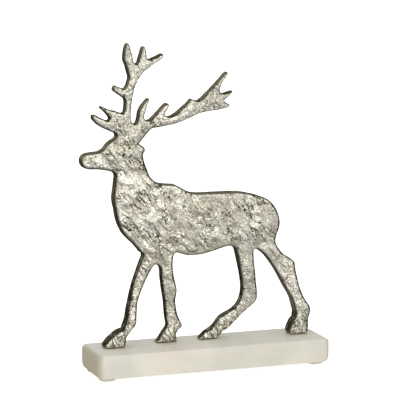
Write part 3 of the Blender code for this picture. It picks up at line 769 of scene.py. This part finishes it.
def edge_direction(front, edge, curve):
    """Which way each point of the face near the edge looks: the outline's normal on the curve,
    and inside it the way in which the distance from the edge falls fastest."""
    outward = np.zeros(front.shape)
    outward[:len(curve)] = -inward(curve)
    near = np.flatnonzero(edge < EDGE_BAND)
    near = near[near >= len(curve)]
    for axis in (0, 1):
        moved = front[near]
        moved[:, axis] += RIM_STEP / 2
        outward[near, axis] = (edge[near] - depth_inside(moved, curve)) / (RIM_STEP / 2)
    return outward


def edge_patina_and_shade(front, edge, limb, curve):
    """What the edge adds to the dark mark: painted shade, a dark line on the shaded side, where
    the edge looks up or to the right, and elsewhere a soft darker band, mostly on the legs. Also
    the shaded side, 0 to 1."""
    outward = edge_direction(front, edge, curve)
    up = front[:, 1] / UNIT
    lee = np.clip(0.3 + 1.4 * outward.sum(axis=1), 0, 1)
    right = np.clip(outward[:, 0], 0, 1)
    below = np.clip((BODY_END[0] - up) / (BODY_END[1] - BODY_END[0]), 0, 1)
    width = SHADE_LINE_WIDTH + right * (SHADE_LINE_WIDER_RIGHT + SHADE_LINE_WIDER_BELOW * below)
    line = np.clip((width - edge) / SHADE_LINE_FADE, 0, 1) * (limb + right * (1 - limb))
    band = np.clip(1 - edge / EDGE_BAND, 0, 1)
    leg = np.clip(1 - up / LEG_TOP, 0, 0.3) / 0.3
    soft = (0.08 * limb + 0.55 * leg) * band * (1 - lee)
    return soft + 1.3 * lee * line - 0.15 * leg, lee


def rim_surface(curve, front_y, back_y):
    """The outline carried from the face's edge to the back in even steps, and moved along its
    normals by a rough noise, but not where the outline closes. Also how far through the plate
    each point is, the noise, and that of the scratches."""
    count = len(curve)
    share = (np.arange(1, RIM_ROWS) / RIM_ROWS)[:, None]
    along = np.arange(count) * RIM_STEP + 0 * share
    y = front_y[:count] * (1 - share) + back_y[:count] * share
    rough = rough_noise(along / RIM_GRAIN, y / RIM_GRAIN, 81, 3)
    streak = rough_noise(along / RIM_STREAK[0], y / RIM_STREAK[1], 91, 2)
    rough[:, :2] = 0
    rough[:, -2:] = 0
    rim = curve[None] - inward(curve)[None] * (rough * RIM_ROUGHNESS)[:, :, None]
    points = np.stack([rim[:, :, 0], y, rim[:, :, 1]], axis=2).reshape(-1, 3)
    return points, np.repeat(share[:, 0], count), rough.ravel(), streak.ravel()


def within(value, start, end):
    """0 at the start, 1 at the end, and even between them."""
    return np.clip((value - start) / (end - start), 0, 1)


def reindeer_casting(place, material):
    """Face, rim and back on one outline, with the marks that the metal's colours read. The back
    is flat but for a slow unevenness and follows the far legs."""
    curve = smooth_outline(RIM_STEP)
    rows = [edge_row(curve, inset, RIM_STEP) for inset in EDGE_ROWS]
    grid = hex_grid(curve, FACE_GRID, EDGE_ROWS[-1] + FACE_GRID * 0.6)
    front, front_faces = fill_outline(curve, np.concatenate(rows + [grid]))
    back, back_faces = fill_outline(curve, hex_grid(curve, BACK_GRID, BACK_GRID * 0.5))

    count = len(curve)
    edge = np.maximum(depth_inside(front, curve), 0)
    edge[:count] = 0
    front_y, turn, dark, limb = face_depth(front[:, 0], front[:, 1], edge)
    added, lee = edge_patina_and_shade(front, edge, limb, curve)
    leg, down = leg_share(back[:, 0], back[:, 1])
    uneven = 0.5 + rough_noise(back[:, 0] * 300, back[:, 1] * 300, 71, 3)
    back_y = PLATE_SET_BACK + PLATE_THICKNESS - BACK_WANDER * uneven
    back_y = back_y + down * LEG_RETREAT * BACK_RETREAT_SHARE * np.array(FAR_LEGS)[leg]
    rim, through, rough, streak = rim_surface(curve, front_y, back_y)

    points = np.concatenate([
        np.stack([front[:, 0], front_y, front[:, 1]], axis=1), rim,
        np.stack([back[:, 0], back_y, back[:, 1]], axis=1)])
    first_rim = len(front)
    first_back = first_rim + len(rim)
    starts = [0] + [first_rim + k * count for k in range(RIM_ROWS - 1)] + [first_back]
    i = np.arange(count)
    j = (i + 1) % count
    bands = [np.stack([i + a, j + a, j + b, i + b], axis=1) for a, b in zip(starts, starts[1:])]
    faces = front_faces + np.concatenate(bands).tolist()
    faces += [[first_back + k for k in reversed(face)] for face in back_faces]

    def joined(*values):
        lengths = (len(front), len(rim), len(back))
        return np.concatenate([part + np.zeros(n) for part, n in zip(values, lengths)])

    hind = within(rim[:, 0] / UNIT, *HIND_ALONG) * within(rim[:, 2] / UNIT, *HIND_SHANK)
    rim_limb = (1 - body_share(rim[:, 2])) * (1 - 0.8 * hind)
    marks = {
        "turn": joined(turn, 1, 0),
        "through": joined(0, through * (1 - 0.45 * hind), 1),
        # The dark mark: patina from the relief, and from the edge a darker band and the painted
        # shade line.
        "dark": joined(dark + added, 0.6 * rough, 0),
        "streak": joined(0, streak, 0),
        "dull": joined(old_patina(*front.T), -hind, 0),
        "lee": joined(lee, np.tile(lee[:count], RIM_ROWS - 1), 0),
        "limb": joined(limb, rim_limb, 1 - body_share(back[:, 1]))}
    points = points + np.array(place)
    return build_mesh("reindeer_casting", points, faces, material, RIM_SHARP, marks)


def rim_colours(finish, speck, lee, dull, sooty):
    """The olive of the rounded edge, the near-black of the rim's far side with its scratches, and
    the rim, which goes from one to the other. On the shaded side, where the edge looks up or to
    the right, the rim is near-black all through as painted shade;
    where it is sooty it is near-black all through too, and the sooty part has a painted highlight,
    a bright line along its back edge."""
    through = finish.mark("through")
    streak = finish.mark("streak")
    soot = finish.mix(speck.between(0.48, 0.64), SOOT, SOOT_PALE)
    soot = finish.mix(streak.between(0.14, 0.30) * 0.9, soot, SCRATCH)
    olive = finish.mix(speck.between(0.35, 0.65), OLIVE_DARK, OLIVE_PALE)
    rubbed = (-dull).between(0.5, 1.0) * through.between(0.0, 0.05)
    olive = finish.mix(rubbed, olive, OLIVE_RUBBED)
    side = finish.mix(through.between(0.30, 0.60), olive, soot)
    side = finish.mix(sooty, side, soot)
    # Painted shade: the rim near-black all through on the shaded side of the edge.
    side = finish.mix(lee * 0.9, side, soot)
    # Painted highlight: a bright line along the back edge of the sooty rim.
    painted_rim_highlight = through.between(0.86, 0.95) * sooty * speck.between(0.40, 0.52)
    return olive, soot, finish.mix(painted_rim_highlight, side, RIM_HIGHLIGHT_COLOUR)


def casting_finish():
    """Bright nickel-silver on the high places and duller silver in others; patina in the pits, in
    the fine worm-like grain, which is stronger on the legs, and round the edge, with painted shade
    where the edge looks up or to the right; deep tracks on the hooves;
    a rim that is nearly black, with a painted highlight along the back edge of the legs' rims; a
    plain back; and brown just above the soles."""
    finish = Finish("plated_casting", metallic=1.0)
    finish.set("Specular Tint", GLANCING)
    turn = finish.mark("turn")
    dark = finish.mark("dark")
    limb = finish.mark("limb")
    lee = finish.mark("lee")
    dull = finish.mark("dull")
    up = finish.axis(2)
    high = up.between(*SOOTY_BELOW)
    leaning = finish.stretch((1.0, 1.0, 0.55), (0, DENT_LEAN, 0))
    grain = finish.noise(0.0026, 2.0, 0.55, leaning)
    speck = finish.noise(0.0019, 2.0, 0.6)
    patch = finish.noise(0.014, 3.0, 0.5, leaning)

    furrow = 1 - grain.off(0.5).between(0.0, 0.05)
    strewn = patch.between(0.44, 0.60) * (1 - limb * 0.85)
    pitted = dark.between(0.20, 0.70)
    patina_and_shade = dark + furrow * 0.25 + (speck - 0.5) * (1.0 + pitted * 2.2) + (patch - 0.5) * 0.4 - 0.16
    colour = finish.mix(strewn, SILVER, SILVER_ROUGH)
    colour = finish.mix(dull.between(0.0, 0.8) * 0.75, colour, SILVER_DULL)
    # Patina, and painted shade where the dark mark carries the edge's painted shade line.
    colour = finish.mix(patina_and_shade.between(0.15, 0.75), colour, PATINA)
    colour = finish.mix(patina_and_shade.between(0.65, 1.15), colour, PATINA_DEEP)
    crack = furrow * (0.34 + limb * (0.50 - high * 0.66) + strewn * 0.12)
    colour = finish.mix(crack * speck.between(0.35, 0.55), colour, CRACK)
    fleck = speck.between(0.53, 0.60) * (0.10 + (dark - dull * 0.3).between(0.22, 0.60) * 0.85)
    colour = finish.mix(fleck, colour, FLECK)
    hoof = 1 - (up - SOLE).between(*TRACKS_BELOW)
    track = finish.noise(0.0042, 1.0, 0.5, finish.stretch((1.0, 1.0, 0.5), (0, 0.3, 0)))
    groove = (1 - track.off(0.5).between(0.012, 0.065)) * hoof
    colour = finish.mix(groove * 0.75, colour, PATINA_DEEP)

    olive, soot, side = rim_colours(finish, speck, lee, dull, limb * (1 - high))
    # On the shaded side of the edge, where it looks up or to the right, the olive is left out and
    # the near-black begins sooner: painted shade.
    colour = finish.mix(turn.between(0.30, 0.75) * (1 - limb) * (1 - lee) * 0.8, colour, olive)
    colour = finish.mix((turn + lee * 0.27).between(0.59, 0.82) * 0.85, colour, soot)
    colour = finish.mix(turn.between(0.97, 0.999), colour, side)
    rear = finish.mix(patch.between(0.4, 0.65), BACK_PALE, BACK_DARK)
    colour = finish.mix(finish.mark("through").between(0.96, 0.995) * (1 - turn), colour, rear)
    foot = 1 - (up - SOLE).between(*BROWN_BELOW)
    finish.set("Base Color", finish.mix(foot * 0.75, colour, SOLE_BROWN))
    finish.set("Roughness", patina_and_shade.between(0.0, 1.2) * 0.25 + turn * 0.10 + 0.32)
    height = (grain * 0.6 + speck * 0.5 - furrow * 0.25) * (1 + limb * 0.5) - groove * 1.1
    finish.set("Normal", finish.bump(height, 0.0007))
    return finish.material


casting = reindeer_casting((BLOCK_MIDDLE, 0, SOLE), casting_finish())
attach(casting, "root")
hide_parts("reindeer")


# Table, light and camera.
# A white table that glows a little, as a translucent one lit from below does, a soft box
# in front, and a camera with a long lens to the reindeer's left.
TABLE_SIZE = 30.0
TABLE_WHITE = (0.8, 0.8, 0.8)
TABLE_GLOW = 0.60
BOX_PLACE = (0.05, -1.3, 0.20)
BOX_AIM = (0, 0, 0.18)
BOX_SIZE = 0.6
BOX_POWER = 2.5
CAMERA_AZIMUTH = math.radians(-19.49)
CAMERA_ELEVATION = math.radians(9.13)
CAMERA_DISTANCE = 2.3683
AIM_BESIDE_BLOCK = -0.00704    # from the middle of the block
AIM_ABOVE_SOLE = 0.1562        # and from the soles of the hooves
CAMERA_LENS = 198.0
CAMERA_SHIFT_UP = -0.001


def table_finish():
    """Matt white that also gives off light."""
    finish = Finish("table_white", roughness=0.9)
    finish.set("Base Color", TABLE_WHITE)
    finish.set("Emission Color", (1.0, 1.0, 1.0))
    finish.set("Emission Strength", TABLE_GLOW)
    return finish.material


half = TABLE_SIZE / 2
corners = [(-half, -half, 0), (half, -half, 0), (half, half, 0), (-half, half, 0)]
table = build_mesh("table", corners, [[0, 1, 2, 3]], table_finish())
table.visible_glossy = False

lamp = bpy.data.lights.new("front_box", "AREA")
lamp.shape = "SQUARE"
lamp.size = BOX_SIZE
lamp.energy = BOX_POWER
box = bpy.data.objects.new("front_box", lamp)
box.location = BOX_PLACE
box.visible_camera = False
box.rotation_euler = (Vector(BOX_AIM) - Vector(BOX_PLACE)).to_track_quat("-Z", "Y").to_euler()
bpy.context.scene.collection.objects.link(box)

# The room is brightest overhead, paler ahead and to the right, and dim towards the floor.
world = bpy.data.worlds.new("studio")
bpy.context.scene.world = world
world.use_nodes = True
room = Nodes(world.node_tree, "Background", "Generated")
ahead = (-room.axis(1)).between(-0.1, 0.9)
right = room.axis(0).between(-0.25, 0.7)
above = room.axis(2).between(-0.1, 0.6)
below = (-room.axis(2)).between(0.15, 0.6)
room.set("Color", (1.0, 1.0, 0.98))
room.set("Strength", 0.11 + ahead * (0.16 + 0.40 * right) + above * 0.92 - ahead * below * 0.2)

lens = bpy.data.cameras.new("camera")
lens.lens = CAMERA_LENS
lens.sensor_width = 36
lens.shift_y = CAMERA_SHIFT_UP
lens.clip_end = 100
camera = bpy.data.objects.new("camera", lens)
back_x = math.sin(CAMERA_AZIMUTH) * math.cos(CAMERA_ELEVATION)
back_y = -math.cos(CAMERA_AZIMUTH) * math.cos(CAMERA_ELEVATION)
toward = Vector((back_x, back_y, math.sin(CAMERA_ELEVATION)))
aim = (BLOCK_MIDDLE + AIM_BESIDE_BLOCK, 0, SOLE + AIM_ABOVE_SOLE)
camera.location = Vector(aim) + toward * CAMERA_DISTANCE
camera.rotation_euler = (-toward).to_track_quat("-Z", "Y").to_euler()
bpy.context.scene.collection.objects.link(camera)
bpy.context.scene.camera = camera
bpy.context.scene.view_settings.view_transform = "Standard"
